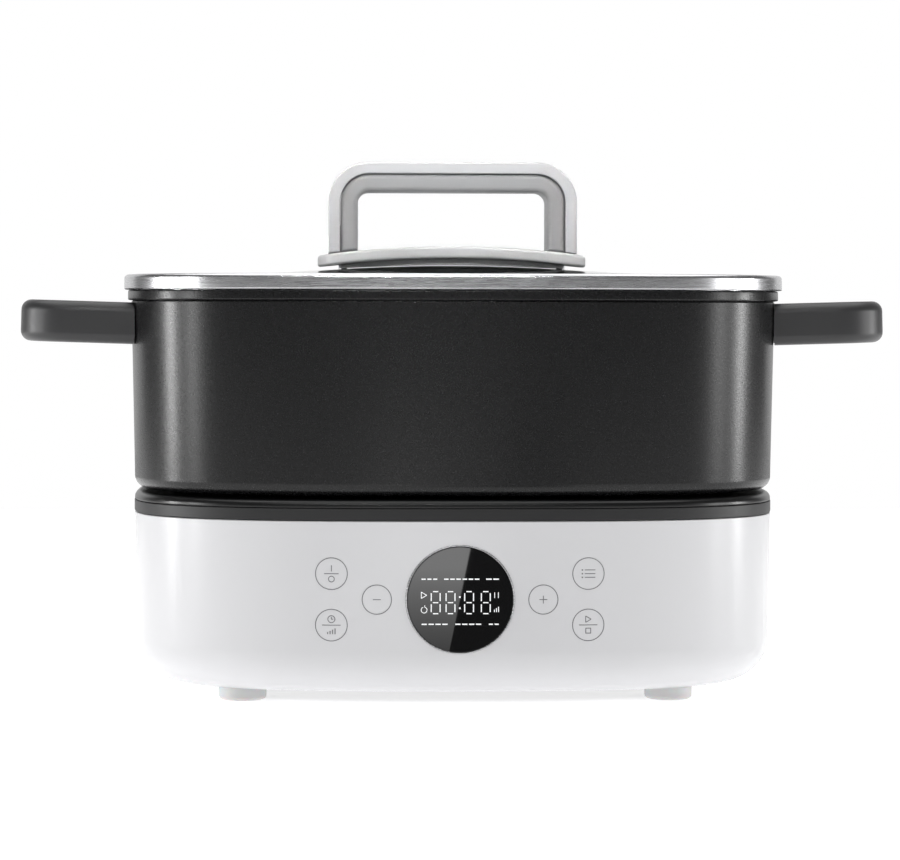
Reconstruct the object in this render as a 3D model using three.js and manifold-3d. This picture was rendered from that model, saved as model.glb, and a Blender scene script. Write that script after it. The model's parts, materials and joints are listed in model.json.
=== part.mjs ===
// A slow cooker with a lift-off pan: a white heater base on four feet, a cast pan with two loop
// handles, and a domed glass lid with a steel rim and an arch handle.
// Millimetres, +Z up, the control panel faces -Y, origin on the table under the middle of the cooker.
import * as THREE from "three";
import { mergeVertices } from "three/addons/utils/BufferGeometryUtils.js";
import Module from "manifold-3d";

const wasm = await Module();
wasm.setup();

// ---------- driving dimensions ----------
const FACETS = 40; // round the soft rectangle that the whole cooker is drawn on
const OUTLINE_POWER = 3.1; // 2 would be an ellipse, 10 almost a rectangle
const SPREAD = 38; // how much further each ring of it reaches in X than in Y
const GAP = 0.3; // between pieces that touch
const BASE = { half: 163, bottom: 7, top: 92, wall: 2.8, underRadius: 21.5, draft: 0.8 };
const COVER = { half: 120.6, thickness: 2.1, recess: 2.6, flange: 10 };
const BOSS = { x: 92, y: 61, radius: 4.5, top: 22, bore: 1.9 };
const FOOT = { radius: 12.2, x: 106.5, y: 71 };
const BAND = { half: 163.1, top: 98, depth: 3 };
const TRAY = { top: 102.5, well: 147, floor: 94, inner: 128, sheet: 2.5 };
const PLATE = { half: 125, top: 99.2, thickness: 10, hole: 20 };
const ELEMENT = { radius: 3.4, drop: 0.8 };
const SHIELD = { half: 118, floor: 76, top: 88, sheet: 0.8, hole: 17 };
const PROBE = { radius: 13, top: 99.3, skirt: 88, seat: 77.5, stem: 4, pin: 2.6 };
const DISPLAY = { radius: 26.5, ring: 0.4, z: 54, proud: 0.4, thickness: 3 };
const KEYS = { outerX: 62.4, innerX: 40.4, spacing: 25, radius: 6 };
const PANEL_BOARD = { width: 152, height: 42, face: -108.3, thickness: 1.6 };
const BOARD = { width: 108, depth: 72, x: -45, y: 10, z: 24.3, thickness: 1.6 };
const INLET = { z: 42, width: 26, height: 18, wall: 3, back: 100, socket: 17 };
const PAN = { pad: 99.6, padHalf: 142, bottom: 104, rim: 204.1, band: 4.8, half: 164.6, taper: 1.8, wall: 2.5 };
const LOOP = { reach: 220, half: 54, arm: 19, bar: 20, height: 21, middle: 187.4, tilt: 1.6 };
const STRIP = { low: 181, high: 193 };
const LUG = { width: 12, reach: 184, thickness: 4 };
const RIM = { half: 168.25, bottom: 204.4, top: 212, skirt: 199.9, sheet: 0.8, lip: 7.7 };
const GLASS = { half: 166.2, edge: 210.9, flatFrom: 159, rise: 6.4, thickness: 4 };
const SEAT = { half: 69.5, depth: 46, top: 227, drop: 4.6, thickness: 6 };
const ARCH = { half: 64, top: 270.4, corner: 21, shell: 6, grip: 9.2, depth: 32 };
const POST = ARCH.half - (ARCH.shell + ARCH.grip) / 2; // where each post of the arch stands in X
const VENT_Y = 77; // the steam vent, on the rear of the glass

// ---------- materials ----------
const finish = (color, roughness, metalness = 0) =>
  new THREE.MeshStandardMaterial({ color, roughness, metalness });
const whiteShell = finish(0xe4e4e4, 0.25);
const darkTrim = finish(0x3a3a3b, 0.5);
const glossBlack = finish(0x101011, 0.12);
const panCoat = finish(0x2e2e2f, 0.55, 0.3);
const phenolic = finish(0x3c3c3d, 0.45);
const brushedSteel = finish(0xc4c4c6, 0.25, 1);
const clearGlass = finish(0xdfe6e6, 0.05);
const greyPlastic = finish(0xb4b4b4, 0.5);
const windowBlack = finish(0x0c0c0d, 0.08);
const softFoot = finish(0xd9d9d9, 0.6);
const castAluminium = finish(0xb0b2b4, 0.45, 1);
const plainSteel = finish(0x9a9c9f, 0.35, 1);
const boardGreen = finish(0x1f5a36, 0.6);
const blackPlastic = finish(0x1c1c1d, 0.5);
const silicone = finish(0x8c8c8c, 0.8);

// ---------- helpers ----------
// A closed geometry as a manifold-3d solid, for cutting and joining.
function solid(geometry) {
  const bare = geometry.clone();
  bare.deleteAttribute("normal");
  bare.deleteAttribute("uv");
  const merged = mergeVertices(bare, 1e-3);
  const triVerts = Uint32Array.from(merged.index.array);
  const vertProperties = Float32Array.from(merged.getAttribute("position").array);
  return new wasm.Manifold(new wasm.Mesh({ numProp: 3, vertProperties, triVerts }));
}

function geometryOf(body) {
  const mesh = body.getMesh();
  const geometry = new THREE.BufferGeometry();
  geometry.setAttribute("position", new THREE.BufferAttribute(mesh.vertProperties, 3));
  geometry.setIndex(new THREE.BufferAttribute(mesh.triVerts, 1));
  geometry.computeVertexNormals();
  return geometry;
}

function cut(geometry, ...tools) {
  return geometryOf(tools.reduce((body, tool) => body.subtract(solid(tool)), solid(geometry)));
}

function join(geometry, ...more) {
  return geometryOf(more.reduce((body, piece) => body.add(solid(piece)), solid(geometry)));
}

function common(geometry, other) {
  return geometryOf(solid(geometry).intersect(solid(other)));
}

// Points of an arc, in degrees anticlockwise from the first axis.
function arc(x, z, radius, from, to, steps) {
  return Array.from({ length: steps + 1 }, (_, i) => {
    const angle = THREE.MathUtils.degToRad(from + ((to - from) * i) / steps);
    return [x + radius * Math.cos(angle), z + radius * Math.sin(angle)];
  });
}

const closed = (profile) => [...profile, profile[0]];

// A round turning about Z, from a profile of [radius, z] that runs out, up and back in.
function round(profile, facets = 20) {
  const points = profile.map(([r, z]) => new THREE.Vector2(r, z));
  return new THREE.LatheGeometry(points, facets).rotateX(Math.PI / 2);
}

// Half the depth of the ring of the soft rectangle whose half width is given.
const depthOf = (half) => Math.max(half - SPREAD, half / 3);

function softPoint(angle, half) {
  const bend = (c) => Math.sign(c) * Math.abs(c) ** (2 / OUTLINE_POWER);
  return [half * bend(Math.cos(angle)), depthOf(half) * bend(Math.sin(angle))];
}

// The same turning, with each circle pressed into the soft rectangle.
function soft(profile) {
  const turned = round(profile, FACETS);
  const at = turned.getAttribute("position");
  for (let i = 0; i < at.count; i++) {
    const half = Math.hypot(at.getX(i), at.getY(i));
    const [x, y] = softPoint(Math.atan2(at.getY(i), at.getX(i)), half);
    at.setXY(i, x, y);
  }
  return turned;
}

function box(width, depth, height, x, y, z) {
  return new THREE.BoxGeometry(width, depth, height).translate(x, y, z);
}

// A peg along Z from one height to another, and one along Y that stands on the panel side.
function peg(radius, x, y, low, high, sides = 12) {
  const cylinder = new THREE.CylinderGeometry(radius, radius, high - low, sides).rotateX(Math.PI / 2);
  return cylinder.translate(x, y, (low + high) / 2);
}

function pegAlongY(radius, x, z, from, to, sides = 12) {
  return new THREE.CylinderGeometry(radius, radius, to - from, sides).translate(x, (from + to) / 2, z);
}

// A shape in X and Z with a thickness in Y, or in X and Y with a thickness in Z; both about the middle.
function slab(shape, thickness, edge = 0) {
  const blank = new THREE.ExtrudeGeometry(shape, {
    depth: thickness - 2 * edge,
    curveSegments: 4,
    bevelEnabled: edge > 0,
    bevelThickness: edge,
    bevelSize: edge,
    bevelOffset: -edge,
    bevelSegments: 1,
  });
  return blank.translate(0, 0, edge - thickness / 2);
}

const upright = (flatSlab) => flatSlab.rotateX(Math.PI / 2);

// A tube with a few flat sides along a smooth line through points.
function tube(points, radius, steps, sides) {
  const section = new THREE.Shape(arc(0, 0, radius, 0, 360, sides).slice(1).map(([x, y]) => new THREE.Vector2(x, y)));
  const path = new THREE.CatmullRomCurve3(points.map((point) => new THREE.Vector3(...point)));
  return new THREE.ExtrudeGeometry(section, { steps, extrudePath: path });
}

function add(group, name, geometry, material) {
  const mesh = new THREE.Mesh(geometry, material);
  mesh.name = name;
  group.add(mesh);
}

const cooker = new THREE.Group();
const base = new THREE.Group();
const probe = new THREE.Group();
const pan = new THREE.Group();
const lid = new THREE.Group();
cooker.add(base, probe, pan, lid);

const SIDES = [["left", -1], ["right", 1]];
const ENDS = [["front", -1], ["rear", 1]];
const CORNERS = ENDS.flatMap(([end, sy]) => SIDES.map(([side, sx]) => [`${end}_${side}`, sx, sy]));

// ---------- base: housing ----------
const coverSeat = BASE.bottom + COVER.recess;
const coverTop = coverSeat - GAP;
const coverBottom = coverTop - COVER.thickness;
const frontFace = -depthOf(BASE.half - BASE.draft / 2);

function baseShell() {
  const underHalf = BASE.half - BASE.draft - BASE.underRadius;
  const underTop = BASE.bottom + BASE.underRadius;
  const opening = COVER.half + 0.4;
  const shell = soft(closed([
    [COVER.half - COVER.flange, coverSeat],
    [opening, coverSeat],
    [opening, BASE.bottom],
    ...arc(underHalf, underTop, BASE.underRadius, -90, 0, 4),
    [BASE.half, BASE.top],
    [BASE.half - BASE.wall, BASE.top],
    ...arc(underHalf, underTop, BASE.underRadius - BASE.wall, 0, -90, 2),
    [opening + BASE.wall, BASE.bottom + BASE.wall],
    [opening + BASE.wall - 1, coverSeat + BASE.wall],
    [COVER.half - COVER.flange, coverSeat + BASE.wall],
  ]));
  const bosses = CORNERS.map(([, sx, sy]) => peg(BOSS.radius, sx * BOSS.x, sy * BOSS.y, coverSeat + 1, BOSS.top));
  const bores = CORNERS.map(([, sx, sy]) => peg(BOSS.bore, sx * BOSS.x, sy * BOSS.y, 0, BOSS.top - 2));
  const window = pegAlongY(DISPLAY.radius + GAP, 0, DISPLAY.z, frontFace - 10, frontFace + 10, 24);
  const socket = box(INLET.width + 2 * GAP, 20, INLET.height + 2 * GAP, 0, -frontFace, INLET.z);
  return cut(join(shell, ...bosses), window, socket, ...bores);
}
add(base, "base_shell", baseShell(), whiteShell);

// The posts carry the power board, and the slots let its heat out.
const boardPosts = SIDES.flatMap(([, sx]) => ENDS.map(([, sy]) => [
  BOARD.x + sx * (BOARD.width / 2 - 4),
  BOARD.y + sy * (BOARD.depth / 2 - 4),
]));

function bottomCover() {
  const sheet = soft([[0, coverBottom], [COVER.half, coverBottom], [COVER.half, coverTop], [0, coverTop]]);
  const posts = boardPosts.map(([x, y]) => peg(3.2, x, y, coverTop - 1, BOARD.z - GAP));
  const holes = CORNERS.flatMap(([, sx, sy]) => [
    peg(2, sx * BOSS.x, sy * BOSS.y, 0, 20),
    peg(3.9, sx * BOSS.x, sy * BOSS.y, 0, coverBottom + 1.1),
  ]);
  const slots = [-42, 62].flatMap((x) => [-20, -8, 4, 16].map((y) => box(44, 3.4, 12, x, y, coverBottom)));
  return cut(join(sheet, ...posts), ...holes, ...slots);
}
add(base, "bottom_cover", bottomCover(), greyPlastic);

for (const [place, sx, sy] of CORNERS) {
  const low = coverBottom + 0.1;
  const screw = round([[0, low], [3.5, low], [3.5, low + 0.7], [1.6, low + 0.7], [1.6, 18], [0, 18]], 10);
  add(base, `cover_screw_${place}`, screw.translate(sx * BOSS.x, sy * BOSS.y, 0), plainSteel);
}

for (const [place, sx, sy] of CORNERS) {
  const { radius } = FOOT;
  const top = BASE.bottom - GAP;
  const foot = round([[0, 0], [radius - 2.5, 0], [radius - 0.7, 1], [radius, 3], [radius, top], [0, top]], 14);
  add(base, `foot_${place}`, foot.translate(sx * FOOT.x, sy * FOOT.y, 0), softFoot);
}

// ---------- base: tray, hotplate and what heats it ----------
const bandIn = BAND.half - BAND.depth;
const band = [[bandIn, BASE.top + GAP], [BAND.half, BASE.top + GAP], [BAND.half, BAND.top], [bandIn, BAND.top]];
add(base, "trim_band", soft(closed(band)), darkTrim);

// The tray's shoulder closes over the band, and its lip goes down inside the band and the shell.
function panTray() {
  const shoulderLow = BAND.top + GAP;
  const shoulder = TRAY.top - shoulderLow;
  const under = TRAY.floor - TRAY.sheet;
  const lip = bandIn - GAP;
  return soft(closed([
    [TRAY.inner, under],
    [TRAY.well + 1.8, under],
    [TRAY.well + 2.6, TRAY.top - TRAY.sheet],
    [lip - 2.4, TRAY.top - TRAY.sheet],
    [lip - 2.4, BASE.top - 4],
    [lip, BASE.top - 4],
    [lip, shoulderLow],
    ...arc(BAND.half - 0.2 - shoulder, shoulderLow, shoulder, 0, 90, 2),
    [TRAY.well + 1, TRAY.top],
    [TRAY.well, TRAY.top - 1],
    [TRAY.well - 0.6, TRAY.floor],
    [TRAY.inner, TRAY.floor],
  ]));
}
add(base, "pan_tray", panTray(), glossBlack);

const plateUnder = PLATE.top - PLATE.thickness;
function hotplate() {
  const disc = soft([[0, plateUnder], [PLATE.half, plateUnder], [PLATE.half, PLATE.top], [0, PLATE.top]]);
  return cut(disc, peg(PLATE.hole, 0, 0, plateUnder - 5, PLATE.top + 5, 16));
}
add(base, "heating_plate", hotplate(), castAluminium);

const sealRing = [[PLATE.half + 0.6, 92], [TRAY.inner - GAP, 92], [TRAY.inner - GAP, 97], [PLATE.half + 0.6, 97]];
add(base, "plate_seal", soft(closed(sealRing)), silicone);

// One run of the heating element, from its end near the middle round to the front, and its mirror.
function heatingElement() {
  const z = plateUnder - ELEMENT.radius - ELEMENT.drop;
  const run = [[14, 32, -3], [18, 46, -1], [38, 55, 0], [80, 47, 0], [96, 20, 0], [96, -20, 0], [80, -47, 0], [38, -56, 0]];
  const right = run.map(([x, y, dz]) => [x, y, z + dz]);
  const left = right.map(([x, y, height]) => [-x, y, height]).reverse();
  return tube([...right, ...left], ELEMENT.radius, 32, 6);
}
add(base, "heating_element", heatingElement(), plainSteel);

function heatShield() {
  const { half, floor, top, sheet } = SHIELD;
  const dish = soft([
    [0, floor],
    [half - 6, floor],
    [half, floor + 4],
    [half, top],
    [half - sheet, top],
    [half - sheet, floor + 4 + sheet / 2],
    [half - 6 - sheet / 2, floor + sheet],
    [0, floor + sheet],
  ]);
  return cut(dish, peg(SHIELD.hole, 0, 0, floor - 5, floor + 5, 14));
}
add(base, "heat_shield", heatShield(), plainSteel);

const fuse = new THREE.CylinderGeometry(2, 2, 12, 12).rotateZ(Math.PI / 2);
add(base, "thermal_fuse", fuse.translate(45, 0, SHIELD.floor + SHIELD.sheet + GAP + 2), castAluminium);

// ---------- the sprung probe in the middle of the hotplate ----------
function probeBracket() {
  const { seat, stem } = PROBE;
  const low = SHIELD.floor - 0.5;
  return round(closed([[3, low], [16, low], [16, seat], [stem, seat], [stem, 88], [3, 88]]), 14);
}
add(base, "sensor_bracket", probeBracket(), plainSteel);

function probeCup() {
  const { radius, top, skirt, pin } = PROBE;
  return round([
    [0, 83],
    [pin, 83],
    [pin, top - 1.3],
    [radius - 1, top - 1.3],
    [radius - 1, skirt],
    [radius, skirt],
    [radius, top - 1],
    [radius - 1, top],
    [0, top],
  ], 14);
}
add(probe, "sensor_cup", probeCup(), castAluminium);

function probeSpring() {
  const turns = 4;
  const low = PROBE.seat + 1.2;
  const high = PROBE.top - 2.6;
  const coil = Array.from({ length: turns * 8 + 1 }, (_, i) => {
    const angle = (i * Math.PI) / 4;
    return [6.4 * Math.cos(angle), 6.4 * Math.sin(angle), low + ((high - low) * i) / (turns * 8)];
  });
  return tube(coil, 0.8, turns * 8, 4);
}
add(probe, "sensor_spring", probeSpring(), plainSteel);

// ---------- base: electronics ----------
const boardTop = BOARD.z + BOARD.thickness;
add(base, "power_board", box(BOARD.width, BOARD.depth, BOARD.thickness, BOARD.x, BOARD.y, boardTop - BOARD.thickness / 2), boardGreen);
const onBoard = (width, depth, height, x, y) => box(width, depth, height, x, y, boardTop + GAP + height / 2);
add(base, "relay", onBoard(20, 16, 16, -75, 20), blackPlastic);
add(base, "transformer", onBoard(26, 22, 20, -34, 24), castAluminium);
add(base, "capacitor", peg(7, -62, -10, boardTop + GAP, boardTop + 26, 14), blackPlastic);

const panelBack = PANEL_BOARD.face + PANEL_BOARD.thickness;
const panelMiddle = (PANEL_BOARD.face + panelBack) / 2;
add(base, "control_board", box(PANEL_BOARD.width, PANEL_BOARD.thickness, PANEL_BOARD.height, 0, panelMiddle, DISPLAY.z), boardGreen);

const windowFace = frontFace - DISPLAY.proud;
const windowBack = windowFace + DISPLAY.thickness;
const windowRadius = DISPLAY.radius - DISPLAY.ring - GAP;
add(base, "display_window", pegAlongY(windowRadius, 0, DISPLAY.z, windowFace, windowBack, 24), windowBlack);
const ringBlank = pegAlongY(DISPLAY.radius, 0, DISPLAY.z, windowFace - 0.1, windowBack, 24);
const ringHole = pegAlongY(windowRadius + GAP, 0, DISPLAY.z, windowFace - 5, windowBack + 5, 24);
add(base, "display_ring", cut(ringBlank, ringHole), brushedSteel);
const moduleDepth = PANEL_BOARD.face - GAP - (windowBack + GAP);
const moduleMiddle = windowBack + GAP + moduleDepth / 2;
add(base, "display_module", box(40, moduleDepth, 26, 0, moduleMiddle, DISPLAY.z), blackPlastic);

// A foam pad behind each touch key, from the board to the inside of the shell.
const KEY_PLACES = [
  ["on_off", -KEYS.outerX, KEYS.spacing / 2],
  ["time", -KEYS.outerX, -KEYS.spacing / 2],
  ["minus", -KEYS.innerX, 0],
  ["plus", KEYS.innerX, 0],
  ["mode", KEYS.outerX, KEYS.spacing / 2],
  ["start", KEYS.outerX, -KEYS.spacing / 2],
];
for (const [key, x, dz] of KEY_PLACES) {
  const pad = pegAlongY(KEYS.radius, x, DISPLAY.z + dz, frontFace + 6.5, PANEL_BOARD.face - GAP, 8);
  add(base, `touch_pad_${key}`, pad, silicone);
}

const PINS = [["live", -6, -1.5], ["earth", 0, 1.5], ["neutral", 6, -1.5]];
function powerInlet() {
  const mouth = -frontFace;
  const depth = mouth - INLET.back;
  const body = box(INLET.width, depth, INLET.height, 0, INLET.back + depth / 2, INLET.z);
  const flange = box(INLET.width + 8, 3, INLET.height + 8, 0, mouth - BASE.wall - 3, INLET.z);
  const inside = { width: INLET.width - 2 * INLET.wall, height: INLET.height - 2 * INLET.wall };
  const socket = box(inside.width, 2 * INLET.socket, inside.height, 0, mouth, INLET.z);
  const slots = PINS.map(([, x, dz]) => box(2.6, 30, 4.6, x, INLET.back, INLET.z + dz));
  return cut(join(body, flange), socket, ...slots);
}
add(base, "power_inlet", powerInlet(), blackPlastic);
for (const [pin, x, dz] of PINS) {
  add(base, `inlet_pin_${pin}`, box(2, 22, 4, x, INLET.back + 5, INLET.z + dz), castAluminium);
}

// ---------- pan ----------
const bandBottom = PAN.rim - PAN.band;
function panBody() {
  const { half, taper, rim, wall, bottom, pad, padHalf } = PAN;
  const low = half - taper;
  const fillet = 5;
  const floor = bottom + wall;
  return soft([
    [0, pad],
    [padHalf, pad],
    [padHalf + 2, bottom],
    ...arc(low - fillet, bottom + fillet, fillet, -90, 0, 3),
    [half, bandBottom - 0.8],
    [half - 0.7, bandBottom - 0.4],
    [half + 1.8, bandBottom],
    [half + 1.8, rim - 0.8],
    [half + 1, rim],
    [half - wall, rim],
    ...arc(low - wall - 12, floor + 12, 12, 0, -90, 3),
    [0, floor],
  ]);
}
add(pan, "pan_body", panBody(), panCoat);

// The lugs are on a strip that hugs the wall under the band, and each arm of a loop is screwed to one.
const armY = LOOP.half - LOOP.arm / 2;
const stripOut = PAN.half + 2.8;
const ringAt = (inner, outer, low, high) => soft(closed([[inner, low], [outer, low], [outer, high], [inner, high]]));
const strip = ringAt(PAN.half + GAP, stripOut, STRIP.low, STRIP.high);
const screwX = LUG.reach - 7;

function loopOutline() {
  const outline = new THREE.Shape();
  const corner = 26;
  const inner = 14;
  outline.moveTo(140, -LOOP.half);
  outline.lineTo(LOOP.reach - corner, -LOOP.half);
  outline.absarc(LOOP.reach - corner, corner - LOOP.half, corner, -Math.PI / 2, 0);
  outline.absarc(LOOP.reach - corner, LOOP.half - corner, corner, 0, Math.PI / 2);
  outline.lineTo(140, LOOP.half);
  outline.lineTo(140, LOOP.half - LOOP.arm);
  const barX = LOOP.reach - LOOP.bar;
  outline.absarc(barX - inner, LOOP.half - LOOP.arm - inner, inner, Math.PI / 2, 0, true);
  outline.absarc(barX - inner, LOOP.arm + inner - LOOP.half, inner, 0, -Math.PI / 2, true);
  outline.lineTo(140, LOOP.arm - LOOP.half);
  return outline;
}

function loopHandle() {
  const tilt = Math.atan2(LOOP.tilt, LOOP.reach - PAN.half);
  const blank = slab(loopOutline(), LOOP.height, 5.5);
  blank.translate(-PAN.half, 0, 0).rotateY(-tilt).translate(PAN.half, 0, LOOP.middle);
  const wall = PAN.half + 0.4;
  const past = PAN.half + 2.2;
  const room = soft([[0, 150], [wall, 150], [wall, bandBottom - 1.2], [past, bandBottom - 0.8], [past, 230], [0, 230]]);
  const pocket = ringAt(PAN.half - 5, stripOut + 0.4, STRIP.low - 0.4, STRIP.high + 0.4);
  const fit = ENDS.flatMap(([, sy]) => [
    box(2 * (LUG.reach - 150) + 0.8, LUG.width + 0.8, LUG.thickness + 0.8, 150, sy * armY, LOOP.middle),
    peg(2.3, screwX, sy * armY, 150, LOOP.middle + 4),
    peg(4.4, screwX, sy * armY, 150, LOOP.middle - 5),
  ]);
  return cut(blank, room, pocket, ...fit);
}

function loopBracket() {
  const cheek = common(strip, box(40, 2 * LOOP.half - 4, 40, 165, 0, LOOP.middle));
  const lugs = ENDS.map(([, sy]) => box(LUG.reach - 165, LUG.width, LUG.thickness, (LUG.reach + 165) / 2, sy * armY, LOOP.middle));
  const holes = ENDS.map(([, sy]) => peg(2.3, screwX, sy * armY, 150, 230));
  return cut(join(cheek, ...lugs), ...holes);
}

function loopScrew() {
  const low = LOOP.middle - 8;
  return round([[0, low], [4, low], [4, low + 2.7], [2, low + 2.7], [2, LOOP.middle + 3.5], [0, LOOP.middle + 3.5]], 10);
}

for (const [side, sx] of SIDES) {
  const turn = sx > 0 ? 0 : Math.PI;
  add(pan, `pan_handle_${side}`, loopHandle().rotateZ(turn), phenolic);
  add(pan, `pan_bracket_${side}`, loopBracket().rotateZ(turn), panCoat);
  for (const [end, sy] of ENDS) {
    add(pan, `handle_screw_${end}_${side}`, loopScrew().translate(sx * screwX, sy * armY, 0), plainSteel);
  }
}

// ---------- lid ----------
const glassTop = (half) => {
  const inward = Math.max(0, 1 - half / GLASS.flatFrom);
  return GLASS.edge + (GLASS.rise * (1 - Math.cos(Math.PI * inward))) / 2;
};
const domeHalves = [0, 40, 80, 120, GLASS.flatFrom];

function lidGlass() {
  const under = domeHalves.map((half) => [half, glassTop(half) - GLASS.thickness]);
  const over = domeHalves.map((half) => [half, glassTop(half)]).reverse();
  const { half, edge, thickness } = GLASS;
  const sheet = soft([...under, [half, edge - thickness], [half, edge], ...over]);
  const holes = SIDES.map(([, sx]) => peg(3, sx * POST, 0, 190, 240));
  return cut(sheet, ...holes, peg(4.4, 0, VENT_Y, 190, 240));
}
add(lid, "lid_glass", lidGlass(), clearGlass);

const channel = RIM.half - RIM.sheet;
const lipIn = RIM.half - RIM.lip;
const channelFloor = RIM.bottom + RIM.sheet;
function lidRim() {
  return soft(closed([
    [lipIn - 1, RIM.skirt],
    [lipIn, RIM.skirt],
    [lipIn, RIM.bottom],
    [RIM.half, RIM.bottom],
    ...arc(RIM.half - 2, RIM.top - 2, 2, 0, 90, 2),
    [lipIn, RIM.top],
    [lipIn, RIM.top - RIM.sheet],
    [channel - 1, RIM.top - RIM.sheet],
    [channel, RIM.top - 2 * RIM.sheet],
    [channel, channelFloor],
    [lipIn - 1, channelFloor],
  ]));
}
add(lid, "lid_rim", lidRim(), brushedSteel);

const gasketTop = GLASS.edge - GLASS.thickness - GAP;
const gasket = [
  [lipIn, channelFloor + GAP],
  [channel - GAP, channelFloor + GAP],
  [channel - GAP, gasketTop],
  [lipIn, gasketTop],
];
add(lid, "lid_gasket", soft(closed(gasket)), silicone);

const ventLow = glassTop(VENT_Y + SPREAD) - GLASS.thickness;
const ventHigh = ventLow + GLASS.thickness;
const grommet = round(closed([
  [2, ventLow - 2],
  [6, ventLow - 2],
  [6, ventLow - 0.7],
  [3.9, ventLow - 0.7],
  [3.9, ventHigh + 0.7],
  [6, ventHigh + 0.7],
  [5.4, ventHigh + 2],
  [2, ventHigh + 2],
]), 16);
add(lid, "steam_vent", grommet.translate(0, VENT_Y, 0), silicone);

// The seat bends with the glass: an arched section, trimmed to an oblong from above.
const seatTop = (x) => SEAT.top - SEAT.drop * (x / SEAT.half) ** 2;
function archedSheet(top, bottom, half, depth) {
  const across = Array.from({ length: 13 }, (_, i) => half * (i / 6 - 1));
  const over = across.map((x) => new THREE.Vector2(x, top(x)));
  const under = across.map((x) => new THREE.Vector2(x, bottom(x))).reverse();
  return upright(slab(new THREE.Shape([...over, ...under]), depth));
}

function oblong(half, depth) {
  const radius = depth / 2;
  const outline = new THREE.Shape();
  outline.absarc(half - radius, 0, radius, -Math.PI / 2, Math.PI / 2);
  outline.absarc(radius - half, 0, radius, Math.PI / 2, 1.5 * Math.PI);
  return slab(outline, 200).translate(0, 0, 200);
}

function holed(piece, radius) {
  return cut(piece, ...SIDES.map(([, sx]) => peg(radius, sx * POST, 0, 190, 240)));
}

const seatUnder = (x) => seatTop(x) - SEAT.thickness;
const seat = archedSheet(seatTop, seatUnder, SEAT.half + 1, SEAT.depth + 2);
add(lid, "handle_seat", holed(common(seat, oblong(SEAT.half, SEAT.depth)), 2.8), greyPlastic);

const padHalf = SEAT.half - 12;
const pad = archedSheet((x) => seatUnder(x) - GAP, (x) => glassTop(Math.abs(x)) + 0.5, padHalf + 1, SEAT.depth - 10);
add(lid, "seat_gasket", holed(common(pad, oblong(padHalf + 0.9, SEAT.depth - 12)), 2.8), silicone);

// The arch: a white shell outside, a grey grip inside it, both standing on the seat.
function archBand(outer, inner) {
  const outline = new THREE.Shape();
  const foot = (x) => seatTop(x) + 0.4;
  outline.moveTo(-outer.half, foot(outer.half));
  outline.lineTo(-inner.half, foot(inner.half));
  outline.absarc(inner.corner - inner.half, inner.top - inner.corner, inner.corner, Math.PI, Math.PI / 2, true);
  outline.absarc(inner.half - inner.corner, inner.top - inner.corner, inner.corner, Math.PI / 2, 0, true);
  outline.lineTo(inner.half, foot(inner.half));
  outline.lineTo(outer.half, foot(outer.half));
  outline.absarc(outer.half - outer.corner, outer.top - outer.corner, outer.corner, 0, Math.PI / 2);
  outline.absarc(outer.corner - outer.half, outer.top - outer.corner, outer.corner, Math.PI / 2, Math.PI);
  return outline;
}

const inset = (amount) => ({ half: ARCH.half - amount, top: ARCH.top - amount, corner: ARCH.corner - amount });
const shellBand = upright(slab(archBand(inset(0), inset(ARCH.shell)), ARCH.depth));
const gripBand = upright(slab(archBand(inset(ARCH.shell + GAP), inset(ARCH.shell + ARCH.grip)), ARCH.depth - 2));
add(lid, "handle_shell", holed(shellBand, 2.6), whiteShell);
add(lid, "handle_grip", holed(gripBand, 2.6), greyPlastic);

for (const [side, sx] of SIDES) {
  const top = glassTop(POST + 6) - GLASS.thickness - GAP;
  const washer = round(closed([[2.6, top - 1.2], [6, top - 1.2], [6, top], [2.6, top]]), 16);
  const head = top - 1.5;
  const screw = round([[0, head - 2.6], [3, head - 2.6], [4.2, head - 1], [4.2, head], [2.2, head], [2.2, 238], [0, 238]], 12);
  add(lid, `handle_washer_${side}`, washer.translate(sx * POST, 0, 0), plainSteel);
  add(lid, `lid_screw_${side}`, screw.translate(sx * POST, 0, 0), plainSteel);
}

export default cooker;
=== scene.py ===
# %% [markdown]
# # A slow cooker, piece by piece
# The cooker's sizes are settled already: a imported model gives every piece's box and says what
# moves. This lesson gives the pieces you see their finished shape and surface. The frame comes in
# first, because each new piece takes its place from it.

# %% Load the frame
import json
import math

import bmesh
import bpy
from mathutils import Matrix, Vector


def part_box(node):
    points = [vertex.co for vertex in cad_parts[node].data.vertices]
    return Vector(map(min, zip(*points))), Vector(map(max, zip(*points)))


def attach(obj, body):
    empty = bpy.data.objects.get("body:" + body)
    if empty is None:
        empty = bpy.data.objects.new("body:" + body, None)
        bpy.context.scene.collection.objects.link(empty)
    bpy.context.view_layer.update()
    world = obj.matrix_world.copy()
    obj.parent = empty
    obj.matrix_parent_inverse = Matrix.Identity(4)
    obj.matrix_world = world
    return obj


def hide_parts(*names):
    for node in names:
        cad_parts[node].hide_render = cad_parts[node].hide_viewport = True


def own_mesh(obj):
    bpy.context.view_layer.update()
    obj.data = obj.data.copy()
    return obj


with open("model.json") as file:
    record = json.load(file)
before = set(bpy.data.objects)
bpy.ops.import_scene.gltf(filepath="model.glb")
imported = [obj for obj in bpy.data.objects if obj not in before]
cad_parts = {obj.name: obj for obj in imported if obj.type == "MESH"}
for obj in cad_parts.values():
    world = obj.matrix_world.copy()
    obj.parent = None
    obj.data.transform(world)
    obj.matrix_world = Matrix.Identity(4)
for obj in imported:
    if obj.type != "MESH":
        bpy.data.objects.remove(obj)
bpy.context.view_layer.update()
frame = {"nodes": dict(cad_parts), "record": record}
MM = 0.001

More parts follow.
